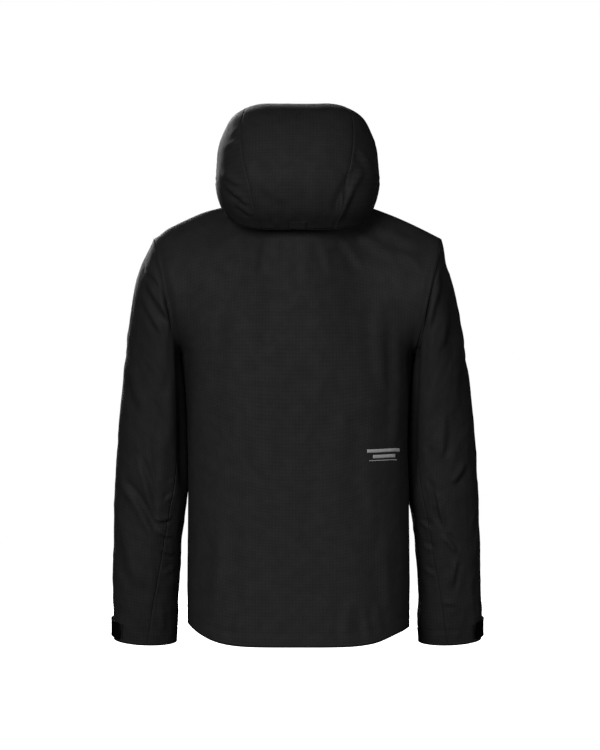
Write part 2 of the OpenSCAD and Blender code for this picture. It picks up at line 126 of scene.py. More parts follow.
HOOD_CENTRE = np.array([
    (-166, 184), (-108, 200), (-45, 204), (14, 192), (58, 158), (82, 108), (86, 62), (72, 18), (42, -14.0),
])
HOOD_WIDTH = np.array([
    96, 120, 134, HOOD_HALF, HOOD_HALF, HOOD_HALF, HOOD_HALF, HOOD_HALF - 3, HOOD_HALF - 9,
])
HOOD_SEAM_X = np.array([66, 76, 84, 92, 97, 92, 82, 73, 62.0])
HOOD_BASE_LOW = np.array([56, -172, 42.0])
HOOD_BASE_HIGH = np.array([45, -179, 56.0])
HOOD_ROUND = 3.0
HOOD_BASE_ANGLE = -50.0
HOOD_BLEND = 110 * MM


# ---- surfaces

def lerp(a, b, t):
    return a + (b - a) * t


def smooth(t):
    c = np.clip(t, 0, 1)
    return c * c * (3 - 2 * c)


def sind(a):
    return np.sin(np.radians(a))


def cosd(a):
    return np.cos(np.radians(a))


def curve(knots, t):
    """Smooth curve through evenly spaced knots, t from 0 to 1."""
    knots = np.asarray(knots, float)
    last = len(knots) - 1
    s = np.clip(np.asarray(t, float), 0, 1) * last
    i = np.minimum(np.floor(s).astype(int), last - 1)
    f = s - i
    b, c = knots[i], knots[i + 1]
    f = f if knots.ndim == 1 else f[..., None]
    before, after = i > 0, i + 2 <= last
    if knots.ndim > 1:
        before, after = before[..., None], after[..., None]
    a = np.where(before, knots[np.maximum(i - 1, 0)], 2 * b - c)
    d = np.where(after, knots[np.minimum(i + 2, last)], 2 * c - b)
    return 0.5 * (2 * b + (c - a) * f + (2 * a - 5 * b + 4 * c - d) * f**2 + (3 * b - a - 3 * c + d) * f**3)


def stack(x, y, z):
    return np.stack(np.broadcast_arrays(x, y, z), -1).astype(float)


def spread(cols, rows, first=(0, 1), second=(0, 1)):
    """Even values of two coordinates over a grid: the first over its columns, the second over its rows."""
    return np.meshgrid(np.linspace(*first, cols), np.linspace(*second, rows), indexing="xy")


def zip_y(z):
    return -HEM_FRONT + (z + FRONT_DROP) * math.tan(ZIP_LEAN)


def neckline(a):
    """Neck seam: 0 at the centre back, 90 at the side, 180 at the centre front."""
    mid = (NECK_BACK[0] + zip_y(NECK_FRONT_Z)) / 2
    rear = lerp(NECK_BACK[1], NECK_SIDE_Z, sind(a) ** 2)
    front = lerp(NECK_SIDE_Z, NECK_FRONT_Z, smooth((a - 90) / 90))
    return stack(NECK_HALF * sind(a), mid + (NECK_BACK[0] - mid) * cosd(a), np.where(a <= 90, rear, front))


def edge_point(v, face):
    """Side seam up to the underarm, then the half of the armhole on that face."""
    a = -90 + 180 * np.clip((v - UNDERARM_V) / (1 - UNDERARM_V), 0, 1)
    arm = ARM_CENTRE + ARMHOLE_R * (sind(a)[..., None] * ARM_UP + cosd(a)[..., None] * np.array([0, face, 0]))
    return np.where((v <= UNDERARM_V)[..., None], curve(SIDE_SEAM, v / UNDERARM_V), arm)


def centre_point(v, face):
    if face > 0:
        p = curve(CENTRE_BACK, v)
        return stack(0 * v, p[..., 0], p[..., 1])
    z = lerp(-FRONT_DROP, NECK_FRONT_Z, v)
    return stack(FRONT_EDGE, zip_y(z), z)


def section_point(u, v, face):
    c, e = centre_point(v, face), edge_point(v, face)
    s = sind(90 * u)
    up = smooth((v - UNDERARM_V) / 0.2)
    n, m = lerp(2.6, 2.0, up), lerp(1 / 2.6, 1.0, up)
    fall = s ** lerp(5, 2.5, smooth(v / 0.3))
    return stack(
        lerp(c[..., 0], e[..., 0], s),
        e[..., 1] + (c[..., 1] - e[..., 1]) * np.maximum(1 - s**n, 0) ** m,
        lerp(c[..., 2], e[..., 2], fall),
    )


def top_point(u, face):
    start = 0.0 if face > 0 else 180 - math.degrees(math.asin(FRONT_EDGE / NECK_HALF))
    neck = neckline(lerp(start, 90, np.clip(u / NECK_SHARE, 0, 1)))
    f = np.clip((u - NECK_SHARE) / (1 - NECK_SHARE), 0, 1)
    side = neckline(np.array(90.0))
    seam = side + (SHOULDER - side) * f[..., None] + stack(0, 0, 5 * sind(180 * f))
    return np.where((u <= NECK_SHARE)[..., None], neck, seam)


def body_point(u, v, face):
    """u is 0 at the centre and 1 at the side seam or armhole; v is 0 at the hem and 1 at the shoulder."""
    u, v = np.broadcast_arrays(np.asarray(u, float), np.asarray(v, float))
    w = smooth((v - 0.5) / 0.5)[..., None]
    return section_point(u, v, face) + w * (top_point(u, face) - section_point(u, np.ones_like(v), face))


def sleeve_point(a, v):
    """a is 0 at the back of the sleeve, 90 outside and 180 in front; v runs from armhole to cuff."""
    a, v = np.broadcast_arrays(np.asarray(a, float), np.asarray(v, float))
    o, i = curve(SLEEVE_OUTER, v), curve(SLEEVE_INNER, v)
    m, h = (o + i) / 2, (o - i) / 2
    r, t = curve(SLEEVE_DEPTH, v), curve(SLEEVE_TILT, v)
    return stack(
        m[..., 0] + h[..., 0] * sind(a),
        curve(SLEEVE_Y, v) + r * cosd(a) * cosd(t),
        m[..., 1] + h[..., 1] * sind(a) - r * cosd(a) * sind(t),
    )


def inner_collar_point(a, t):
    p = neckline(np.abs(a))
    s = (NECK_HALF - 5) / NECK_HALF
    z = lerp(p[..., 2] + 3, lerp(66, 34, smooth(np.abs(a) / 180)), t)
    lean = (z - p[..., 2]) * math.tan(ZIP_LEAN) * smooth((np.abs(a) - 90) / 60)
    return stack(np.where(a < 0, -1, 1) * p[..., 0] * s, lerp(-92, p[..., 1], s) + lean, z)


def blurred(p, sigma, axis):
    """Grid of points smoothed along an axis, with its edges kept in place."""
    p = np.moveaxis(p, axis, 0)
    reach = min(int(2.6 * sigma), len(p) - 1)
    weights = np.exp(-0.5 * (np.arange(-reach, reach + 1) / sigma) ** 2)
    before = 2 * p[:1] - p[reach:0:-1]
    after = 2 * p[-1:] - p[-2:-reach - 2:-1]
    wide = np.concatenate([before, p, after])
    soft = sum(w * wide[k:k + len(p)] for k, w in enumerate(weights)) / weights.sum()
    return np.moveaxis(soft, 0, axis)


def relaxed(p, u, v):
    """Body panels without the ridges that run in from the corners of the neck and of the underarm."""
    sigma = 9
    share = smooth((1 - v) / 0.06) * smooth((v - 0.42) / 0.2)
    p = lerp(p, blurred(p, sigma, 1), share[..., None])
    share = smooth((1 - np.abs(u)) / 0.07) * smooth((1 - v) / 0.09) * smooth(v / 0.2)
    return lerp(p, blurred(p, sigma, 0), share[..., None])


def hood_point(a, t):
    """Arc t runs from one side of the chin over the head to the other; a is 90 at its top."""
    a, t = np.broadcast_arrays(np.asarray(a, float), np.asarray(t, float))
    c, w = curve(HOOD_CENTRE, t), curve(HOOD_WIDTH, t)
    base = lerp(HOOD_BASE_HIGH, HOOD_BASE_LOW, t[..., None])
    reach = -sind(HOOD_BASE_ANGLE)
    side = np.abs(cosd(a))
    below = np.maximum(0, -sind(a) / reach)
    rise = np.where(sind(a) >= 0, np.abs(sind(a)) ** (2 / HOOD_ROUND), sind(a))
    q = (rise + reach) / (1 + reach)
    low_x = lerp(base[..., 0], w, np.maximum(0, 1 - below**2) ** 0.6)
    x = np.where(below > 0, low_x, w * side ** (2 / HOOD_ROUND))
    lift = 14 * smooth((t - 0.5) / 0.5) * side**4 * (1 - smooth(below))
    y, z = lerp(base[..., 1], c[..., 0], q), lerp(base[..., 2], c[..., 1], q) + lift
    return stack(np.where(a > 90, -1, 1) * x, y, z)


def hood_seam_angle(t):
    return np.degrees(np.arccos((curve(HOOD_SEAM_X, t) / curve(HOOD_WIDTH, t)) ** (HOOD_ROUND / 2)))


def normals(p):
    """Unit normals of a grid of points, along rows cross columns."""
    n = np.cross(np.gradient(p, axis=0), np.gradient(p, axis=1))
    return n / np.maximum(np.linalg.norm(n, axis=-1, keepdims=True), 1e-9)


# ---- folds

def soft_noise(x, y, size_x, size_y, seed):
    """Smooth noise from -1 to 1, with features of that size."""
    grid = np.random.RandomState(seed).uniform(-1, 1, (64, 64))
    gx, gy = x / size_x, y / size_y
    i, j = np.floor(gx).astype(int), np.floor(gy).astype(int)
    fx, fy = smooth(gx - i), smooth(gy - j)
    pick = lambda a, b: grid[a % 64, b % 64]
    return lerp(lerp(pick(i, j), pick(i + 1, j), fx), lerp(pick(i, j + 1), pick(i + 1, j + 1), fx), fy)


def crease(x, z, start, end, width, height, bow=0.0):
    """A fold from start to end: a ridge beside a shallower valley, fading towards its ends."""
    start, end = np.array(start, float), np.array(end, float)
    d = end - start
    length = math.hypot(*d)
    d = d / length
    along = (x - start[0]) * d[0] + (z - start[1]) * d[1]
    f = along / length
    across = (x - start[0]) * -d[1] + (z - start[1]) * d[0] - bow * 4 * f * (1 - f)
    fade = smooth(f / 0.3) * smooth((1 - f) / 0.3)
    w = width * (0.6 + 0.4 * fade)
    ridge = np.exp(-(across / w) ** 2)
    valley = np.exp(-((across - 1.6 * w) / (1.1 * w)) ** 2)
    return height * fade * (ridge - 0.75 * valley)


def creases(x, z, folds):
    return sum(crease(x, z, *fold) for fold in folds)


def bump(x, z, centre, size):
    """1 at the centre, falling off over the size along each coordinate."""
    return np.exp(-(((x - centre[0]) / size[0]) ** 2) - ((z - centre[1]) / size[1]) ** 2)


# Each fold has its start and end, its width and height, and how far it bows sideways, in millimetres.
BACK_FOLDS = [
    ((52, -22), (66, -100), 8, 2.2), ((22, -22), (28, -84), 7, 1.6), ((-10, -20), (-14, -120), 8, 1.6),
    ((-38, -22), (-56, -92), 7, 1.8), ((-70, -20), (-118, -86), 8, 2.6),
    ((-96, -12), (-168, -64), 9, 3.0), ((-128, -4), (-214, -46), 9, 2.6),
    ((96, -12), (150, -60), 9, 1.8), ((150, 0), (218, -38), 10, 1.6), ((-172, -44), (-226, -96), 9, 3.0),
    ((-140, -110), (-152, -300), 10, 2.2, 8), ((-168, -150), (-158, -420), 9, 2.6, -9),
    ((-120, -330), (-136, -560), 13, 2.0, 6), ((160, -180), (168, -420), 14, 1.8, 5),
    ((110, -120), (128, -330), 16, 1.4, -8), ((36, -90), (52, -330), 20, 1.7, 6),
    ((-40, -120), (-28, -360), 20, 1.5, -6), ((-84, -300), (-52, -560), 18, 1.6, 8),
    ((20, -420), (34, -660), 18, 1.5, -6), ((84, -430), (74, -700), 16, 1.6, 6),
    ((-150, -520), (-160, -690), 10, 2.0, 4), ((134, -500), (150, -690), 12, 1.8, -5),
    ((-90, -640), (-78, -724), 8, 1.8), ((-112, -655), (-122, -722), 7, 2.0),
    ((-134, -650), (-144, -714), 7, 1.8), ((96, -668), (104, -722), 9, 1.3),
    ((178, -260), (184, -470), 8, 1.6),
]
HOOD_FOLDS = [
    ((-118, 96), (-66, -6), 7, 5.2, 6), ((-96, 60), (-70, -4), 5, 3.0, 3),
    ((-104, 128), (-134, 84), 7, 3.2), ((128, 150), (96, 160), 5, 2.6), ((134, 128), (100, 136), 5, 2.5),
    ((132, 92), (92, 60), 6, 3.0, 4), ((128, 70), (88, 40), 5, 3.2, 3), ((116, 52), (80, 26), 4, 3.0),
    ((108, 34), (76, 8), 4, 2.6), ((40, 6), (34, -12), 5, 1.2), ((8, 40), (14, -10), 8, 1.4),
    ((-24, 60), (-30, -8), 9, 1.5), ((70, 120), (30, 90), 12, 1.6), ((-60, 130), (-20, 80), 12, 1.8),
    ((60, 60), (20, 30), 9, 1.4),
]
SLEEVE_FOLDS_LEFT = [
    ((258, -92), (208, -176), 7, 3.0, 5), ((264, -66), (220, -116), 6, 1.8, 3),
    ((266, -120), (226, -196), 6, 1.6, 4), ((300, -230), (262, -330), 10, 1.6),
    ((214, -250), (208, -400), 8, 1.8, 6), ((238, -280), (226, -400), 9, 1.6, -6),
    ((301, -436), (240, -546), 7, -3.4, -6), ((274, -392), (242, -508), 6, -2.4, -5),
    ((252, -360), (240, -450), 6, -1.5), ((250, -511), (214, -506), 4, 2.4, 4),
    ((244, -528), (212, -542), 4, 2.2, 4), ((238, -560), (208, -572), 4, 1.6, 3),
    ((204, -466), (230, -484), 3.5, 1.8, 3), ((202, -440), (224, -450), 3.5, 1.6),
    ((210, -596), (234, -606), 4, 1.2), ((300, -520), (270, -640), 10, 1.6, 5),
    ((262, -560), (250, -660), 8, 1.2, -5), ((238, -640), (230, -714), 6, 1.0),
]
SLEEVE_FOLDS_RIGHT = [
    ((252, -90), (224, -190), 6, 2.4, -4), ((268, -110), (238, -230), 8, 2.0, 5),
    ((292, -170), (274, -330), 10, 1.7, -6), ((254, -330), (246, -414), 7, 2.4),
    ((290, -410), (262, -452), 6, 2.4, 4), ((216, -380), (214, -440), 7, 1.6, 5),
    ((231, -458), (251, -530), 4.5, -3.2, -3), ((220, -440), (238, -500), 4, 1.8),
    ((247, -540), (275, -574), 5, 2.4, 4), ((277, -578), (268, -634), 5, 2.2, -3),
    ((208, -516), (230, -530), 4, 1.6), ((212, -556), (236, -568), 4, 1.6),
    ((214, -596), (238, -610), 4, 1.4), ((276, -659), (250, -657), 4, 1.2),
    ((300, -560), (304, -690), 7, 0.8),
]


def ridges(x, y, size_x, size_y, seed):
    """Noise with thin crests, as of fabric that has been folded."""
    return 1 - 2 * np.abs(soft_noise(x, y, size_x, size_y, seed)) ** 0.7


def cloth_texture(x, y, seed, amount=1.0):
    """Soft folds along the fabric's length, then smaller crumples, in millimetres."""
    bend = 14 * soft_noise(x, y, 120, 150, seed + 9)
    return amount * (
        0.7 * soft_noise(x + bend, y, 46, 210, seed)
        + 0.42 * ridges(x + bend, y + 0.4 * x, 34, 130, seed + 1)
        + 0.30 * ridges(x - bend, y - 0.6 * x, 22, 60, seed + 4)
        + 0.20 * soft_noise(x, y + 5, 10, 16, seed + 2)
        + 0.07 * soft_noise(x, y, 5, 6, seed + 3)
    )


def seam_groove(distance, width=1.8, depth=0.55):
    """The dip of a seam, with the seam allowance standing slightly proud beside it."""
    d = np.abs(distance)
    return -depth * np.exp(-((d / width) ** 2)) + 0.15 * depth * np.exp(-(((d - 6) / 4) ** 2))


# ---- materials

def material(name):
    m = bpy.data.materials.new(name)
    m.use_nodes = True
    tree = m.node_tree
    return m, tree, tree.nodes["Principled BSDF"]


def math_node(tree, operation, a, b=None, c=None):
    n = tree.nodes.new("ShaderNodeMath")
    n.operation = operation
    for i, value in enumerate((a, b, c)):
        if value is None:
            continue
        if isinstance(value, (int, float)):
            n.inputs[i].default_value = value
        else:
            tree.links.new(value, n.inputs[i])
    return n.outputs[0]


def times(tree, a, b):
    return math_node(tree, "MULTIPLY", a, b)


def noise_node(tree, vector, scale, detail=3.0, roughness=0.5):
    n = tree.nodes.new("ShaderNodeTexNoise")
    put(n, Scale=scale, Detail=detail, Roughness=roughness)
    if vector is not None:
        tree.links.new(vector, n.inputs["Vector"])
    return n.outputs["Fac"]


def ramp_node(tree, value, low, high, dark, light):
    n = tree.nodes.new("ShaderNodeMapRange")
    tree.links.new(value, n.inputs["Value"])
    for i, x in enumerate((low, high, dark, light)):
        n.inputs[i + 1].default_value = x
    return n.outputs["Result"]


def put(node, **values):
    """Sets a node's inputs, named with _ for each space."""
    for key, value in values.items():
        node.inputs[key.replace("_", " ")].default_value = value


def grey(tree, value, tint, target):
    """Colour from a brightness and a tint."""
    n = tree.nodes.new("ShaderNodeCombineColor")
    for i, t in enumerate(tint):
        tree.links.new(times(tree, value, t), n.inputs[i])
    tree.links.new(n.outputs[0], target)


def add_bump(tree, shader, height, distance, strength=1.0):
    b = tree.nodes.new("ShaderNodeBump")
    put(b, Distance=distance, Strength=strength)
    tree.links.new(height, b.inputs["Height"])
    tree.links.new(b.outputs["Normal"], shader.inputs["Normal"])


def coordinates(tree, kind):
    """A texture coordinate, and its three values apart."""
    where = tree.nodes.new("ShaderNodeTexCoord").outputs[kind]
    split = tree.nodes.new("ShaderNodeSeparateXYZ")
    tree.links.new(where, split.inputs[0])
    return where, split.outputs


def sine(tree, coordinate, rate):
    return math_node(tree, "SINE", times(tree, coordinate, rate))


def rib_lines(tree, coordinate, pitch):
    """Rounded ribs of that pitch across a coordinate."""
    return math_node(tree, "ABSOLUTE", sine(tree, coordinate, math.pi / pitch))


def thread_lines(tree, coordinate, pitch, half_width):
    """1 on thin lines every pitch metres along a coordinate, 0 between them."""
    phase = math_node(tree, "FRACT", math_node(tree, "DIVIDE", coordinate, pitch))
    near = math_node(tree, "ABSOLUTE", math_node(tree, "SUBTRACT", phase, 0.5))
    return ramp_node(tree, near, half_width / pitch * 1.5, half_width / pitch * 0.5, 0.0, 1.0)


def ripstop_material(name, brightness, roughness, grid_gain):
    """Woven face fabric: a fine weave, a ripstop grid and blotchy, slightly crinkled film."""
    grid_pitch, thread_width, weave_pitch = 0.0058, 0.0009, 0.0007
    m, tree, shader = material(name)
    uv, ways = coordinates(tree, "UV")
    lines = [thread_lines(tree, ways[k], grid_pitch, thread_width) for k in (0, 1)]
    grid = math_node(tree, "MAXIMUM", *lines)
    fine = times(tree, *[sine(tree, ways[k], 2 * math.pi / weave_pitch) for k in (0, 1)])
    blotch = noise_node(tree, uv, 42.0, 5.0, 0.65)
    crinkle = noise_node(tree, uv, 160.0, 3.0, 0.55)
    shade = times(tree, ramp_node(tree, blotch, 0.3, 0.7, 0.88, 1.13), brightness)
    grid_shade = math_node(tree, "ADD", 1.0, times(tree, grid, grid_gain))
    shade = times(tree, shade, grid_shade)
    grey(tree, shade, (1.0, 1.0, 1.01), shader.inputs["Base Color"])
    rough = math_node(tree, "ADD", ramp_node(tree, blotch, 0.3, 0.7, roughness + 0.05, roughness - 0.05),
                      times(tree, crinkle, 0.06))
    tree.links.new(rough, shader.inputs["Roughness"])
    put(shader, Specular_IOR_Level=0.08)
    height = times(tree, grid, 0.15)
    height = math_node(tree, "ADD", height, times(tree, fine, 0.05))
    height = math_node(tree, "ADD", height, times(tree, crinkle, 0.9))
    add_bump(tree, shader, height, 0.00035, 0.6)
    return m


def knit_material(name, brightness, roughness):
    """Fine knit backer of the lining side."""
    m, tree, shader = material(name)
    uv, ways = coordinates(tree, "UV")
    row_pitch, column_pitch = 0.0012, 0.0009
    rows = rib_lines(tree, ways[1], row_pitch)
    loops = times(tree, rows, rib_lines(tree, ways[0], column_pitch))
    blotch = noise_node(tree, uv, 30.0)
    shade = times(tree, ramp_node(tree, blotch, 0.3, 0.7, 0.85, 1.15), brightness)
    shade = times(tree, shade, ramp_node(tree, loops, 0.0, 1.0, 0.75, 1.15))
    grey(tree, shade, (1.0, 1.0, 1.03), shader.inputs["Base Color"])
    put(shader, Roughness=roughness, Specular_IOR_Level=0.25, Sheen_Weight=0.15)
    add_bump(tree, shader, loops, 0.0002, 0.7)
    return m


def plain_material(name, brightness, roughness, grain=400.0, grain_depth=0.00008, metallic=0.0,
                   tint=(1, 1, 1.04), wear=0.1, gloss=0.4):
    """Moulded, coated or painted surface with a fine grain and slight wear in its colour."""
    m, tree, shader = material(name)
    where = tree.nodes.new("ShaderNodeTexCoord").outputs["Object"]
    grain_value = noise_node(tree, where, grain, 2.0)
    patches = noise_node(tree, where, 60.0, 3.0)
    shade = times(tree, ramp_node(tree, patches, 0.3, 0.7, 1 - wear, 1 + wear), brightness)
    grey(tree, shade, tint, shader.inputs["Base Color"])
    rough = ramp_node(tree, patches, 0.3, 0.7, roughness - 0.06, roughness + 0.06)
    tree.links.new(rough, shader.inputs["Roughness"])
    put(shader, Metallic=metallic, Specular_IOR_Level=gloss)
    add_bump(tree, shader, grain_value, grain_depth)
    return m


def woven_material(name, brightness, pitch, roughness=0.75):
    """Narrow woven tape or braid, with ribs across the coordinates of the object."""
    m, tree, shader = material(name)
    ways = coordinates(tree, "Object")[1]
    weave = times(tree, *[rib_lines(tree, ways[k], pitch) for k in (0, 2)])
    shade = times(tree, ramp_node(tree, weave, 0, 1, 0.7, 1.25), brightness)
    grey(tree, shade, (1, 1, 1.03), shader.inputs["Base Color"])
    put(shader, Roughness=roughness, Specular_IOR_Level=0.2)
    add_bump(tree, shader, weave, 0.00025, 0.8)
    return m


shell_fabric = ripstop_material("shell_fabric", 0.0245, 0.62, -0.15)
lining_fabric = knit_material("lining_fabric", 0.02, 0.8)
binding_fabric = woven_material("binding_fabric", 0.007, 0.0008)
webbing_fabric = woven_material("webbing_fabric", 0.018, 0.0010)
tape_fabric = plain_material("zip_tape_film", 0.006, 0.7, 900.0, 0.00005, gloss=0.15)
coil_plastic = plain_material("zip_coil_plastic", 0.010, 0.38)
slider_paint = plain_material("slider_paint", 0.012, 0.32, 500.0, 0.00004, 0.4, wear=0.25)
puller_rubber = plain_material("puller_rubber", 0.014, 0.62, 700.0)
tab_rubber = plain_material("cuff_tab_rubber", 0.0010, 0.68, 500.0, 0.0001, gloss=0.12)
hook_fabric = plain_material("hook_and_loop", 0.006, 0.95, 1400.0, 0.0005)
lock_plastic = plain_material("cord_lock_plastic", 0.013, 0.45, 600.0)
spring_steel = plain_material("spring_steel", 0.55, 0.28, 900.0, 0.00002, 1.0, (1, 1, 1))
reflective_film = plain_material("reflective_film", 0.42, 0.38, 1800.0, 0.00003, 0.0, (1, 1, 1.01), 0.04)
thread = plain_material("stitching_thread", 0.004, 0.7, 2500.0, 0.00005)


# ---- mesh tools

def link(name, mesh):
    o = bpy.data.objects.new(name, mesh)
    bpy.context.scene.collection.objects.link(o)
    return o


def mesh_object(name, vertices, faces, materials, smooth_shade=True):
    mesh = bpy.data.meshes.new(name)
    mesh.from_pydata([tuple(v) for v in vertices], [], faces)
    for m in materials:
        mesh.materials.append(m)
    mesh.polygons.foreach_set("use_smooth", [smooth_shade] * len(mesh.polygons))
    mesh.update()
    return link(name, mesh)


def grid_faces(rows, cols, flip):
    i, j = np.meshgrid(np.arange(rows - 1), np.arange(cols - 1), indexing="ij")
    a = (i * cols + j).ravel()
    quads = np.stack([a, a + cols, a + cols + 1, a + 1], 1)
    return (quads[:, ::-1] if flip else quads).tolist()


def fabric_uv(points):
    """Width and length along the fabric at each grid point, in metres, measured from the middle column."""
    across = np.linalg.norm(np.diff(points, axis=1), axis=-1)
    u = np.concatenate([np.zeros((len(points), 1)), np.cumsum(across, 1)], 1)
    u = u - u[:, [points.shape[1] // 2]]
    along = np.linalg.norm(np.diff(points, axis=0), axis=-1).mean(1)
    v = np.concatenate([[0], np.cumsum(along)])
    return np.stack([u, np.broadcast_to(v[:, None], u.shape)], -1) * MM


def panel(name, points, outward, heights=0.0, outer=None, inner=None, thickness=0.7, mirror=1.0, body="shell",
          blended=None, replaced=(), slot="shell_fabric"):
    """A fabric panel: a grid of points in millimetres, moved out by the heights, with a lining side."""
    outer, inner = outer or shell_fabric, inner or lining_fabric
    uv = fabric_uv(points)
    p = points + normals(points) * outward * np.asarray(heights, float)[..., None]
    p = p * np.array([mirror, 1, 1])
    rows, cols = p.shape[:2]
    flip = (outward > 0) == (mirror > 0)
    o = mesh_object(name, (p * MM).reshape(-1, 3), grid_faces(rows, cols, not flip), [outer, inner])
    layer = o.data.uv_layers.new(name="UVMap")
    index = np.zeros(len(o.data.loops), int)
    o.data.loops.foreach_get("vertex_index", index)
    layer.data.foreach_set("uv", uv.reshape(-1, 2)[index].ravel())
    thick = o.modifiers.new("thickness", "SOLIDIFY")
    thick.thickness = thickness * MM
    thick.offset = -1
    thick.material_offset = 1
    thick.material_offset_rim = 0
    fasten(o, body, blended, replaced)


def fasten(o, body, blended=None, replaced=()):
    if blended:
        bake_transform(o)
    else:
        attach(o, body)
    if replaced:
        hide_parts(*replaced)


def add_tube(faces, base, rings, sides):
    """Faces of a closed tube whose rings of vertices start at base."""
    for r in range(rings - 1):
        for k in range(sides):
            a, b = base + r * sides + k, base + r * sides + (k + 1) % sides
            faces.append((a, b, b + sides, a + sides))
    faces.append(tuple(base + k for k in reversed(range(sides))))
    faces.append(tuple(base + (rings - 1) * sides + k for k in range(sides)))


def stitches(name, path, body, blended=None, pitch=3.4, length=2.5, radius=0.2, lift=0.12):
    """A row of stitches along a path of points with their outward normals, both in millimetres."""
    points, out = path
    steps = np.linalg.norm(np.diff(points, axis=0), axis=1)
    s = np.concatenate([[0], np.cumsum(steps)])
    vertices, faces = [], []
    sides = 5
    for start in np.arange(0, s[-1] - length, pitch):
        where = [start + length * f for f in (0, 0.2, 0.8, 1)]
        sizes = [0.25, 1, 1, 0.25]
        centre = np.stack([np.interp(where, s, points[:, k]) for k in range(3)], 1)
        normal = np.stack([np.interp(where, s, out[:, k]) for k in range(3)], 1)
        along = centre[-1] - centre[0]
        along = along / np.linalg.norm(along)
        base = len(vertices)
        for c, n, size in zip(centre, normal, sizes):
            n = n / np.linalg.norm(n)
            side = np.cross(along, n)
            c = c + n * lift
            for k in range(sides):
                a = 2 * math.pi * k / sides
                vertices.append((c + radius * size * (math.cos(a) * side * 1.3 + math.sin(a) * n)) * MM)
        add_tube(faces, base, len(sizes), sides)
    o = mesh_object(name, vertices, faces, [thread])
    fasten(o, body, blended)


def lining_panel(name, points, outward, heights=0.0, **more):
    panel(name, points, outward, heights, outer=lining_fabric, slot="lining_fabric", **more)


def path_on(points, outward, mirror=1.0, row=None, column=None):
    """A row or column of a grid as a path with its outward normals."""
    n = normals(points) * outward
    pick = (lambda g: g[row]) if row is not None else (lambda g: g[:, column])
    flip = np.array([mirror, 1, 1])
    return pick(points) * flip, pick(n) * flip


# ---- body

ROWS = 190


def back_heights(u, v, p):
    """Folds of the back, fading out at the armholes and the side seams."""
    x, z = p[..., 0], p[..., 2]
    fade = smooth((1 - np.abs(u)) / 0.06)
    arm = np.where(v > UNDERARM_V - 0.05, smooth((1 - np.abs(u)) / 0.16), 1)
    top = smooth((1 - v) / 0.07)
    soft = cloth_texture(x, z, 11, 1.25)
    hem = seam_groove(z - hem_line(u) - 22, 1.2, 0.7)
    gather = 0.9 * np.sin(x / 5.2 + 2 * np.sin(x / 31)) * smooth((-640 - z) / 60)
    gather = gather * smooth((np.abs(x + 108) - 20) / -40 + 1)
    waves = (creases(x, z, BACK_FOLDS) + soft) * fade * arm * top
    return waves + hem + gather * fade + side_fullness(u, v)


def side_fullness(u, v):
    """The body's sides stand a little fuller where the sleeves hang against them."""
    return 1.0 * smooth((np.abs(u) - 0.86) / 0.1) * smooth((v - 0.28) / 0.1) * smooth((0.6205 - v) / 0.005)


def hem_set(p, u, v):
    """Low down on the wearer's right the side stands fuller and the hem's corner hangs slightly lower."""
    p = np.array(p)
    p[..., 0] += np.sign(p[..., 0]) * 3.5 * smooth((np.abs(u) - 0.8) / 0.18) * smooth((0.34 - v) / 0.1)
    p[..., 2] -= 7 * smooth((np.abs(u) - 0.6) / 0.3) * smooth((0.08 - v) / 0.08)
    return p


def shoulder_set(p, u):
    """The wearer's left shoulder sits slightly higher than the right one, up to the armhole seam."""
    p = np.array(p)
    rise = 5 * smooth((p[..., 0] - 110) / 60) * smooth((p[..., 2] + 160) / 90)
    p[..., 2] += rise * smooth((1 - np.abs(u)) / 0.1)
    return p


def hem_line(u):
    return body_point(np.abs(u), np.zeros_like(u), 1)[..., 2]


def back_point(u, v):
    """The back from side to side, with u below 0 on the wearer's right."""
    p = body_point(np.abs(u), v, 1)
    p[..., 0] *= np.where(u < 0, -1, 1)
    return p


def make_back():
    u, v = spread(131, ROWS, (-1, 1))
    p = relaxed(back_point(u, v), u, v)
    heights = back_heights(u, v, p)
    p = np.where((u < 0)[..., None], hem_set(p, u, v), shoulder_set(p, u))
    panel("back_fabric", p, 1, heights, replaced=["back_panel"])


# Each bar's place up the back, its start and end along the mark, and its half height.
MARK_BARS = ((0.0088, 0.0, 1.0, 0.0036), (-0.0032, 0.18, 0.86, 0.0036), (-0.0112, 0.11, 0.95, 0.0008))


def make_mark():
    """Two printed bars over a thin line: a plain reflective mark on the lower back."""
    rows, cols, lift = 4, 40, 0.8
    vertices, faces = [], []
    for place, start, end, tall in MARK_BARS:
        f, k = spread(cols, rows, (start, end), (-1, 1))
        u = lerp(-0.755, -0.43, f)
        v = lerp(0.3243, 0.367, f) + place + k * tall
        p = back_point(u, v)
        p = (p + normals(p) * (back_heights(u, v, p) + lift)[..., None]) * MM
        base = len(vertices)
        vertices.extend(p.reshape(-1, 3))
        faces.extend([tuple(base + i for i in quad) for quad in grid_faces(rows, cols, True)])
    o = mesh_object("reflective_bars", vertices, faces, [reflective_film])
    o.modifiers.new("thickness", "SOLIDIFY").thickness = 0.15 * MM
    fasten(o, "shell", replaced=["reflective_mark"])


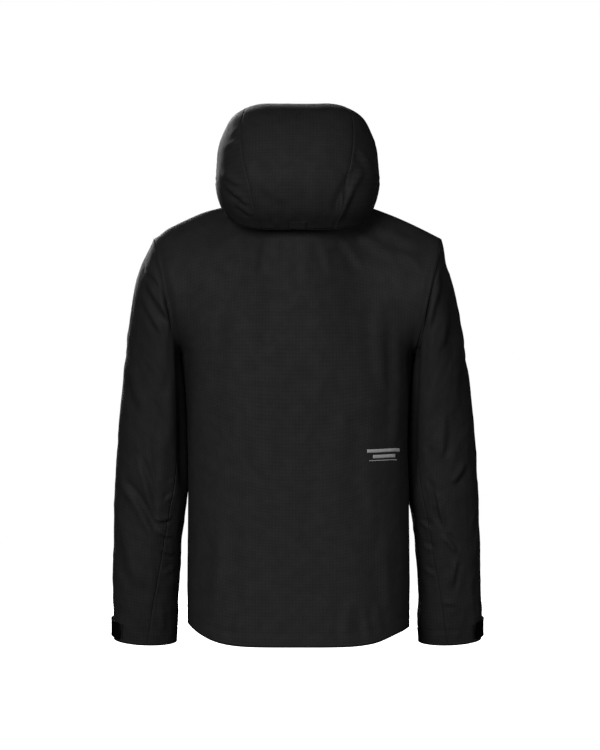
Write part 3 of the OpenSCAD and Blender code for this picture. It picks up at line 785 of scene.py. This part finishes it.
def front_heights(u, v, p, seed):
    """Folds of a front, lying calm under the hand pocket's zip."""
    x, z = p[..., 0], p[..., 2]
    fade = smooth((1 - u) / 0.10) * smooth(u / 0.06) * smooth((1 - v) / 0.03)
    soft = cloth_texture(x, z, seed, 1.15)
    pull = creases(x, z, [
        ((30, -80), (150, -40), 12, 2.4, 6), ((24, -120), (190, -110), 14, 2.0, 8),
        ((190, -150), (120, -260), 12, 2.6, 5), ((200, -200), (150, -330), 10, 2.4, 4),
        ((60, -260), (70, -480), 18, 1.8, 6), ((30, -500), (44, -680), 14, 1.6, 4),
        ((110, -520), (126, -680), 14, 2.0, -5), ((168, -430), (172, -640), 12, 1.8, 4),
    ])
    hem = seam_groove(z + FRONT_DROP - 22, 1.2, 0.7)
    low, high = node_box("pocket_zip_coil_left")
    zip_x = lerp(high[0] - 3, low[0] + 3, (z - low[2]) / (high[2] - low[2]))
    calm = np.exp(-(((x - zip_x) / 17) ** 4))
    calm = calm * smooth((z - low[2] + 22) / 18) * smooth((high[2] + 22 - z) / 18)
    zip_seam = seam_groove(u * 180 - 11, 1.2, 0.5)
    return (soft + pull) * fade * (1 - calm) + hem + zip_seam + side_fullness(u, v)


def make_fronts():
    u, v = spread(76, ROWS)
    p = relaxed(body_point(u, v, -1), u, v)
    for side, s in SIDES:
        set_p = shoulder_set(p, u) if s > 0 else hem_set(p, u, v)
        heights = front_heights(u, v, p, 31 if s > 0 else 47)
        panel(f"front_fabric_{side}", set_p, -1, heights, mirror=s, replaced=[f"front_panel_{side}"])
        stitches(f"zip_edge_stitch_{side}", path_on(p, -1, s, column=3), "shell")


def make_collar_fronts():
    length = 88
    low_angle = 180 - math.degrees(math.asin(FRONT_EDGE / NECK_HALF))
    s, t = spread(14, 26)
    low = neckline(lerp(low_angle, NECK_START, s))
    high_x, high_y = lerp(FRONT_EDGE, HOOD_BASE_LOW[0], s), lerp(zip_y(CHIN_Z), HOOD_BASE_LOW[1], s)
    p = lerp(low, stack(high_x, high_y, CHIN_Z - 5 * s), t[..., None])
    seams = seam_groove(t * length - 84, 1.2, 0.5) + seam_groove(t * length - 1, 1.6, 0.8)
    heights = seams + 0.5 * soft_noise(p[..., 0], p[..., 2], 14, 20, 5)
    for side, m in SIDES:
        panel(f"collar_front_fabric_{side}", p, -1, heights, mirror=m, replaced=[f"collar_front_{side}"])


def make_collar_neck():
    f, t = spread(121, 22)
    arc = hood_point(lerp(HOOD_BASE_ANGLE, 180 - HOOD_BASE_ANGLE, f), np.ones_like(f)) - np.array([0, 0, 0.6])
    a = lerp(NECK_START, -NECK_START, f)
    low = neckline(np.abs(a))
    low[..., 0] *= np.where(a < 0, -1, 1)
    p = lerp(low, arc, t[..., None])
    inward = -3.0 * np.sin(math.pi * t) * smooth((0.5 - np.abs(f - 0.5)) / 0.15)
    heights = inward + 0.6 * soft_noise(f * 500, t * 60, 12, 30, 8)
    panel("collar_neck_fabric", p, -1, heights, replaced=["collar_neck_panel"])


def make_inner_collar():
    a, t = spread(111, 20, (163, -163))
    p = inner_collar_point(a, t)
    wave = 0.7 * soft_noise(a * 1.5, t * 60, 16, 30, 9) + 0.9 * np.exp(-(((t - 1) / 0.08) ** 2))
    heights = wave * smooth(t / 0.2)
    lining_panel("inner_collar_fabric", p, 1, heights, thickness=1.6, replaced=["inner_collar"])


def make_hem():
    parts = []
    inset, tunnel = 5, (0.001, 0.05)
    p = back_point(*spread(90, 8, (-0.965, 0.965), tunnel))
    parts.append(("hem_facing_back", p - inset * normals(p), 1, 1.0))
    p = body_point(*spread(44, 8, (0.09, 0.965), tunnel), -1)
    for side, s in SIDES:
        parts.append((f"hem_facing_{side}", p + inset * normals(p), -1, s))
    for name, p, outward, s in parts:
        heights = 0.5 * soft_noise(p[..., 0], p[..., 2], 14, 20, 3)
        lining_panel(name, p, outward, heights, mirror=s, replaced=["hem_facing"])


def make_storm_flap():
    x, s = spread(12, 80, (-14, 26))
    low, high = node_box("storm_flap")
    z = lerp(low[2], high[2], s)
    p = stack(x, zip_y(z) + 5.4 + 3.2 * smooth((x - 2) / 16), z)
    heights = 0.5 * soft_noise(x, z, 12, 40, 6)
    lining_panel("storm_flap_fabric", p, 1, heights, thickness=0.9, replaced=["storm_flap"])


def make_pocket_bags():
    p = body_point(*spread(30, 40, (0.16, 0.72), (0.24, 0.56)), -1)
    p = p + 5.5 * normals(p)
    heights = 0.8 * soft_noise(p[..., 0], p[..., 2], 25, 40, 7)
    for side, m in SIDES:
        lining_panel(f"pocket_bag_fabric_{side}", p, -1, heights, thickness=1.4, mirror=m,
                     replaced=[f"pocket_bag_{side}"])


# ---- sleeves

def sleeve_heights(a, v, p, folds, seed, cap):
    """Folds of a sleeve, and how it hangs: cap is how much fuller its top stands outside."""
    x, z = p[..., 0], p[..., 2]
    start = smooth(v / 0.035)
    rear = smooth((cosd(a) + 0.25) / 0.5)
    round_way = np.radians(a) * curve(SLEEVE_DEPTH, v)
    length = v * SLEEVE_LENGTH
    wide, deep = sind(a) * 90, cosd(a) * 90 + 300
    soft = cloth_texture(wide, length, seed) + cloth_texture(deep, length, seed + 7)
    soft = soft + 0.7 * ridges(wide + 0.5 * length, length, 34, 44, seed + 3)
    soft = soft + 0.6 * ridges(deep - 0.5 * length, length, 40, 36, seed + 5)
    front = creases(round_way, length, [
        ((150, 250), (240, 330), 9, 3.4, 5), ((150, 290), (250, 350), 8, 3.0, 4),
        ((160, 330), (255, 380), 8, 2.8, 3), ((120, 120), (190, 210), 12, 2.4, 5),
        ((200, 60), (150, 200), 12, 2.6, -5), ((140, 430), (150, 560), 10, 1.8, 4),
    ])
    cuff = seam_groove((1 - v) * SLEEVE_LENGTH - 26, 1.2, 0.7)
    from_seam = (a - curve(BACK_SEAM, v)) * math.pi / 180 * curve(SLEEVE_DEPTH, v)
    seams = seam_groove(from_seam, 1.8, 0.2)
    outside = smooth((sind(a) - 0.2) / 0.6)
    inner = smooth((-sind(a) - 0.35) / 0.4) * smooth((0.63 - v) / 0.07)
    waves = 0.85 * soft + 1.5 * rear * creases(x, z, folds) + (1 - rear) * front
    waves = waves * start * smooth((1 - v) / 0.03)
    waves = waves + cap * smooth(v / 0.08) * smooth((0.45 - v) / 0.32) * outside
    waves = waves - 5 * np.exp(-(((a + 42) / 20) ** 2)) * smooth(v / 0.05) * smooth((0.36 - v) / 0.2)
    dip = 11 * np.exp(-(((a + 62) / 15) ** 2)) * smooth(v / 0.05) * smooth((0.62 - v) / 0.2)
    waves = waves - 9 * np.exp(-(((length - 10) / 5.5) ** 2)) * smooth((a + 82) / 30) * smooth((55 - a) / 60)
    against_body = inner * smooth(v / 0.008) * (1.1 + 1.4 * np.exp(-(((v - 0.56) / 0.06) ** 2)))
    sway = smooth((v - 0.25) / 0.2) * smooth((0.93 - v) / 0.1) * outside * (2.2 if cap > 0 else -2.0)
    if cap < 0:
        slimmer = 3.5 * smooth((v - 0.58) / 0.1) * smooth((0.93 - v) / 0.08)
        sway = sway - slimmer * smooth((-sind(a) - 0.2) / 0.6)
    return waves * (1 - 0.85 * inner * start) + against_body - dip + sway + cuff + seams * start


def tucked(p):
    """Adds the seam allowance that turns in behind the armhole seam, round the axis of the sleeve's swing."""
    inwards = p[:1] - ARM_CENTRE
    inwards = inwards - (inwards @ ARM_OUT)[..., None] * ARM_OUT
    inwards = inwards / np.linalg.norm(inwards, axis=-1, keepdims=True)
    below = smooth((-inwards[..., 2:] - 0.9) / 0.06)
    return np.concatenate([
        p[:1] - (2.4 - 3.2 * below) * inwards - (4.0 + 5.0 * below) * ARM_OUT,
        p[:1] - (0.9 - 3.6 * below) * inwards - 0.7 * ARM_OUT, p,
    ])


# Each part's name, its two seams, the turn to add to the second one's angle, and its columns.
SLEEVE_PARTS = (("upper", BACK_SEAM, FRONT_SEAM, 360, 121), ("under", FRONT_SEAM, BACK_SEAM, 0, 34))


def make_sleeve_panels(side, s):
    folds, seed, cap = (SLEEVE_FOLDS_LEFT, 61, 2.5) if s > 0 else (SLEEVE_FOLDS_RIGHT, 83, -9.0)
    for part, low, high, turn, cols in SLEEVE_PARTS:
        f, v = spread(cols, ROWS)
        a = lerp(curve(low, v), curve(high, v) + turn, f)
        p = sleeve_point(a, v)
        heights = sleeve_heights(a, v, p, folds, seed, cap)
        p, heights = tucked(p), np.concatenate([0 * heights[:2], heights])
        panel(f"sleeve_{part}_fabric_{side}", p, -1, heights, mirror=s,
              body=f"sleeve_{side}", replaced=[f"sleeve_{part}_{side}"])


def make_cuff_facing(side, s):
    all_round = (-118, 238)
    p = sleeve_point(*spread(90, 8, all_round, (0.935, 0.998)))
    p = p + 2.6 * normals(p)
    lining_panel(f"cuff_facing_fabric_{side}", p, -1, mirror=s, body=f"sleeve_{side}",
                 replaced=[f"cuff_facing_{side}"])
    p = sleeve_point(*spread(160, 3, all_round, (0.955, 0.965)))
    stitches(f"cuff_stitch_{side}", path_on(p, -1, s, row=1), f"sleeve_{side}")


def make_cuff_tab(side, s):
    low, high = 0.9465, 0.990
    middle, half = (low + high) / 2, (high - low) / 2
    f, w = spread(70, 15, (0, 1), (-1, 1))
    end = 0.07
    share = np.clip(1 - f / end, 0, 1)
    narrow = np.sqrt(np.maximum(1 - share**5, 0.02))
    p = sleeve_point(lerp(48.0, 152.0, f), middle + half * w * narrow)
    rib = 0.25 * np.maximum(0, np.sin(f * 140)) * smooth((0.36 - f) / 0.05) * smooth(f / 0.08)
    rib = rib * smooth((0.8 - np.abs(w)) / 0.2)
    edge = 0.35 * smooth((np.abs(w) - 0.78) / 0.1)
    p = p - 4.2 * normals(p)
    panel(f"cuff_tab_moulded_{side}", p, -1, rib + edge, outer=tab_rubber, inner=tab_rubber, thickness=1.4,
          mirror=s, body=f"cuff_tab_{side}", replaced=[f"cuff_tab_{side}"], slot="cuff_tab")


def make_sleeves():
    for side, s in SIDES:
        make_sleeve_panels(side, s)
        make_cuff_facing(side, s)
        make_cuff_tab(side, s)


# ---- hood

hood_normal = np.array([0, HOOD_BASE_LOW[2] - HOOD_CENTRE[-1][1], HOOD_CENTRE[-1][0] - HOOD_BASE_LOW[1]])
hood_normal = hood_normal / np.linalg.norm(hood_normal)
fold_line = Vector((0, HOOD_CENTRE[-1][0] * MM, HOOD_CENTRE[-1][1] * MM))
hood_bend = ("shell", "hood", tuple(fold_line), tuple(fold_line + HOOD_BLEND * Vector(hood_normal)))


def hood_heights(a, t, p):
    """Folds of the hood, which is slightly lopsided behind and calm along its outline."""
    x, y, z = p[..., 0], p[..., 1], p[..., 2]
    rear = smooth(y / 50)
    side_front = smooth((-20 - y) / 50)
    edge = smooth(t / 0.05) * smooth((1 - t) / 0.03) * smooth(z / 60 + 0.9)
    soft = cloth_texture(x, t * 480, 101, 0.7)
    around = creases(y, z, [
        ((-150, 70), (-90, 120), 8, 2.6, 3), ((-160, 50), (-60, 70), 8, 3.0, 5),
        ((-140, 110), (-70, 150), 9, 2.0, 4), ((-60, 40), (-30, 150), 12, 2.0, 6),
        ((-110, 40), (-70, 110), 8, 2.2, 4),
    ])
    groove = seam_groove((np.minimum(a, 180 - a) - hood_seam_angle(t)) * 2.1, 1.8, 0.25)
    lopsided = -4 * bump(x, z, (-122, 142), (26, 42)) + 2 * bump(x, z, (112, 160), (22, 22))
    wide = np.abs(x)
    fuller = 2 * smooth((wide - 95) / 35) * smooth((110 - z) / 40)
    fuller = fuller + 3 * smooth((z - 150) / 40) * np.exp(-(((wide - 70) / 30) ** 2))
    fuller = fuller - 5 * bump(wide, z, (128, 158), (20, 28))
    calm = smooth((142 - wide) / 24)
    waves = soft + fuller + rear * (calm * creases(x, z, HOOD_FOLDS) + lopsided) + side_front * around
    return waves * edge + groove + seam_groove(t * 430 - 20, 1.2, 0.6)


def make_hood_panels():
    for name, mirror, cols in (("centre_panel", 1, 60), ("side_left", 1, 56), ("side_right", -1, 56)):
        f, t = spread(cols, 100)
        g = hood_seam_angle(t)
        a = lerp(g, 180 - g, f) if name == "centre_panel" else lerp(HOOD_BASE_ANGLE, g, f)
        if mirror < 0:
            a = 180 - a[:, ::-1]
        p = hood_point(a, t)
        heights = hood_heights(a, t, p)
        panel(f"hood_{name}_fabric", p, 1, heights, blended=hood_bend, replaced=[f"hood_{name}"])


def make_hood_peak():
    first, last, forwards = 52, 128, np.array([0, -0.985, -0.17])
    a, t = spread(60, 14, (first, last))
    reach = t * (2 + 28 * sind((a - first) / (last - first) * 180) ** 0.6)
    p = hood_point(a, np.zeros_like(a)) + reach[..., None] * forwards
    rows = sum(seam_groove(reach - d, 0.9, 0.35) for d in (8, 14, 20))
    panel("hood_peak_fabric", p, -1, rows + 0.3, inner=shell_fabric, thickness=1.5, blended=hood_bend,
          replaced=["hood_peak"])


def make_hood_binding():
    a, t = spread(130, 6, (HOOD_BASE_ANGLE + 1, 179 - HOOD_BASE_ANGLE), (0.002, 0.06))
    p = hood_point(a, t)
    p = p - 1.6 * normals(p)
    panel("hood_edge_binding_fabric", p, 1, 0.3 * np.sin(a * 1.9), outer=binding_fabric, inner=binding_fabric,
          thickness=0.8, blended=hood_bend, replaced=["hood_edge_binding"], slot="binding")


def make_hood_stitches():
    for side, sign in SIDES:
        t = np.linspace(0.01, 0.985, 160)
        g = hood_seam_angle(t)
        for k, offset in enumerate((-2.6, 2.6)):
            line = np.stack([g + d for d in (offset - 1, offset, offset + 1)], 0)
            p = hood_point(line, np.broadcast_to(t, line.shape))
            path = path_on(p, -1, sign, row=1)
            stitches(f"hood_seam_stitch_{side}_{k}", path, "hood", hood_bend, lift=0.35)


# ---- zips and small pieces

def zip_frame(origin, inward, up):
    """Matrix from a zip's own axes, in millimetres, to the row frame, in metres."""
    up, inward = Vector(up).normalized(), Vector(inward).normalized()
    across = inward.cross(up)
    m = Matrix((across, inward, up)).transposed().to_4x4()
    m.translation = Vector(origin)
    return m @ Matrix.Scale(MM, 4)


def coil_mesh(name, length, sign, place):
    """One side of a moulded coil: a row of rounded hooks that reach past the middle."""
    x, pitch, wire, ring = 1.9, 1.9, 0.34, 8
    vertices, faces = [], []
    loop = [(sign * (x + 1.5), 0.9, 0), (sign * (x - 0.2), -0.25, 0.25), (sign * 0.35, 0.1, 0.5),
            (sign * 0.2, 0.9, 0.6), (sign * 0.4, 1.7, 0.5), (sign * (x + 1.4), 1.9, 0.9)]
    for k in range(int(length / pitch)):
        base = len(vertices)
        shift = k * pitch + (0.5 * pitch if sign < 0 else 0)
        for n, q in enumerate(loop):
            c = Vector(q) + Vector((0, 0, shift))
            nxt = Vector(loop[min(n + 1, len(loop) - 1)]) - Vector(loop[max(n - 1, 0)])
            side = nxt.cross(Vector((0, 0, 1))).normalized()
            up = side.cross(nxt).normalized()
            for r in range(ring):
                a = 2 * math.pi * r / ring
                vertices.append(place @ (c + wire * (math.cos(a) * side + 1.5 * math.sin(a) * up)))
        add_tube(faces, base, len(loop), ring)
    return mesh_object(name, vertices, faces, [coil_plastic])


def make_main_zip():
    low, high = node_box("zip_coil_left")
    start = (0, zip_y(low[2]) * MM, low[2] * MM)
    place = zip_frame(start, (0, math.cos(ZIP_LEAN), -math.sin(ZIP_LEAN)), ZIP_UP)
    length = (high[2] - low[2]) / math.cos(ZIP_LEAN)
    for side, s in SIDES:
        teeth = coil_mesh(f"zip_teeth_{side}", length, s, place)
        fasten(teeth, "shell", replaced=[f"zip_coil_{side}"])


def make_pocket_zips():
    for side, s in SIDES:
        slide = joints[f"pocket_slide_{side}"]
        swing = joints[f"pocket_puller_swing_{side}"]
        up = Vector(slide["axis"])
        across = -Vector(swing["axis"]) * s
        inward = up.cross(across * s).normalized()
        pin = Vector(swing["pos_m"])
        low, high = node_box(f"pocket_zip_coil_{side}")
        span = (high[2] - low[2]) / up.z
        start = pin + inward * 5.2 * MM - up * (span - 7) * MM
        place = zip_frame(start, inward, up)
        for tooth_side, sign in SIDES:
            teeth = coil_mesh(f"pocket_teeth_{side}_{tooth_side}", span - 1, sign, place)
            fasten(teeth, "shell", replaced=[f"pocket_zip_coil_{side}"])


def bevel(o, width):
    b = o.modifiers.new("bevel", "BEVEL")
    b.width = width * MM
    b.segments = 3
    b.limit_method = "ANGLE"
    b.angle_limit = math.radians(35)


def both(*names):
    return [f"{name}_{side}" for name in names for side, s in SIDES]


# CAD pieces that are seen as they are, with their material and the width of their rounded edges.
CAD_LOOKS = [
    (both("zip_tape", "pocket_zip_tape"), tape_fabric, 0.1),
    (["zip_retainer_box"] + both("cord_lock", "cord_lock_button"), lock_plastic, 0.4),
    (["zip_slider", "zip_top_stops"] + both("pocket_slider"), slider_paint, 0.3),
    (["zip_puller"] + both("pocket_puller"), puller_rubber, 0.35),
    (["zip_garage", "hanger_loop", "neck_label"], webbing_fabric, 0.15),
    (["hood_back_tab"], shell_fabric, 0.2),
    (["hem_drawcord"], binding_fabric, 0.0),
    (both("cord_lock_spring"), spring_steel, 0.0),
    (both("cuff_loop_patch", "cuff_hook_patch"), hook_fabric, 0.0),
]


def dress_cad_nodes():
    for names, look, width in CAD_LOOKS:
        for name in names:
            o = nodes[name]
            o.data.materials.clear()
            o.data.materials.append(look)
            if width:
                bevel(o, width)


# ---- stage, light and camera

def area_light(name, place, size, power):
    """A soft box aimed at the jacket's middle; only those far behind or in front give highlights."""
    target, far_behind, far_in_front = (0, -0.05, -0.25), 7, -7
    data = bpy.data.lights.new(name, "AREA")
    data.shape = "RECTANGLE"
    data.size, data.size_y = size
    data.energy = power
    o = bpy.data.objects.new(name, data)
    bpy.context.scene.collection.objects.link(o)
    o.location = place
    o.rotation_euler = (Vector(target) - Vector(place)).to_track_quat("-Z", "Y").to_euler()
    o.visible_glossy = place[1] > far_behind or place[1] < far_in_front


def make_stage():
    """A white studio: the background is seen, and soft boxes on every side do the lighting."""
    world = bpy.data.worlds.new("studio")
    bpy.context.scene.world = world
    world.use_nodes = True
    world.node_tree.nodes["Background"].inputs[0].default_value = (1, 1, 1, 1)
    world.cycles_visibility.diffuse = False
    world.cycles_visibility.glossy = False
    size, level = 14.0, -0.85
    corners = [(x * size, y * size, level) for x, y in ((-1, -1), (1, -1), (1, 1), (-1, 1))]
    floor = mesh_object("floor", corners, [(0, 1, 2, 3)], [floor_material()], False)
    floor.visible_diffuse = floor.visible_glossy = False
    area_light("key", (2.6, 7.8, 2.2), (3.2, 3.2), 360)
    area_light("fill", (-2.4, 7.6, 0.2), (4.0, 4.0), 70)
    area_light("top", (0.0, 0.8, 5.0), (3.0, 2.0), 8)
    area_light("left_side", (6.6, 4.2, 0.9), (3.0, 3.0), 45)
    area_light("right_side", (-6.6, 4.2, 0.9), (3.0, 3.0), 78)
    area_light("front", (1.8, -7.6, 2.0), (3.2, 3.2), 400)
    area_light("front_fill", (-2.8, -6.8, 0.2), (3.6, 3.6), 140)


def floor_material():
    m, tree, shader = material("pale_floor")
    where = tree.nodes.new("ShaderNodeTexCoord").outputs["Object"]
    shade = ramp_node(tree, noise_node(tree, where, 3.0), 0.3, 0.7, 0.92, 0.94)
    grey(tree, shade, (1, 1, 1), shader.inputs["Base Color"])
    put(shader, Roughness=0.9, Emission_Color=(1, 1, 1, 1), Emission_Strength=1.1)
    return m


def make_camera():
    """Behind the jacket and level with its middle; the frame is 1.29 m tall at the jacket."""
    data = bpy.data.cameras.new("camera")
    camera = bpy.data.objects.new("camera", data)
    bpy.context.scene.collection.objects.link(camera)
    frame_height, distance, middle_y = 1.29, 14.0, -0.03
    data.sensor_width = 36.0
    data.lens = data.sensor_width * (distance - middle_y) / frame_height
    data.clip_end = 100
    camera.location = (-0.0043, distance, -0.263)
    camera.rotation_euler = (math.radians(90), 0, math.radians(180))
    bpy.context.scene.camera = camera


bpy.context.scene.view_settings.view_transform = "Standard"
make_camera()
make_stage()
make_back()
make_mark()
make_fronts()
make_collar_fronts()
make_collar_neck()
make_inner_collar()
make_hem()
make_storm_flap()
make_pocket_bags()
make_sleeves()
make_hood_panels()
make_hood_peak()
make_hood_binding()
make_hood_stitches()
make_main_zip()
make_pocket_zips()
dress_cad_nodes()
